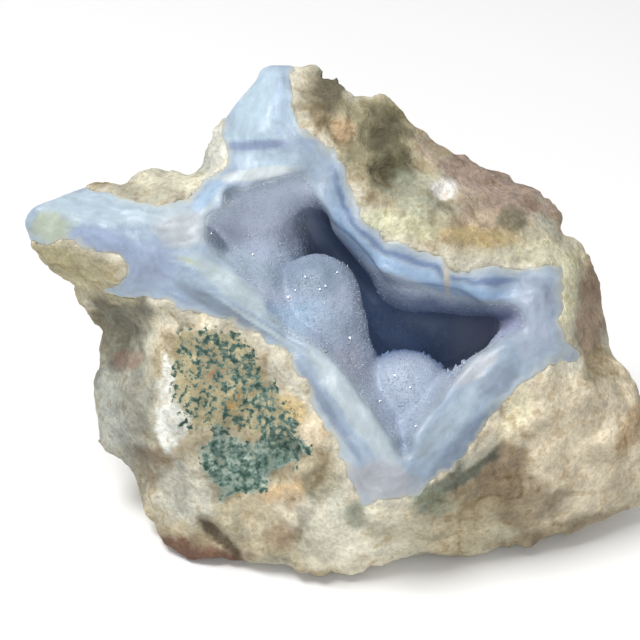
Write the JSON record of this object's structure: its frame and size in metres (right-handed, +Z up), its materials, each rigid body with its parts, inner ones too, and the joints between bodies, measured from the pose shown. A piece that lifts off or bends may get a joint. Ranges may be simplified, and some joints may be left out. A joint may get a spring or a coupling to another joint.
{
  "type": "agate geode",
  "caption": "Broken geode: a weathered lump of host rock with a blue agate lining and a lumpy druse of quartz in its open hollow.",
  "frame": {"origin": "middle of the small flat spot under the stone, on the plane that it rests on", "axes": "+X along the stone's length, to the right of the open hollow; +Y to the back, away from the broken face; +Z up"},
  "size_m": [0.1339, 0.0728, 0.0869],
  "materials": {
    "host_rock": "weathered tan, grey and brown volcanic rock, matt, with green patches",
    "agate": "banded pale blue chalcedony, broken, waxy",
    "druse": "sugary skin of fine quartz crystals with sparkles"
  },
  "bodies": {
    "root": {"host_rock": "host_rock", "agate_lining": "agate", "druse_crust": "druse"}
  },
  "joints": []
}
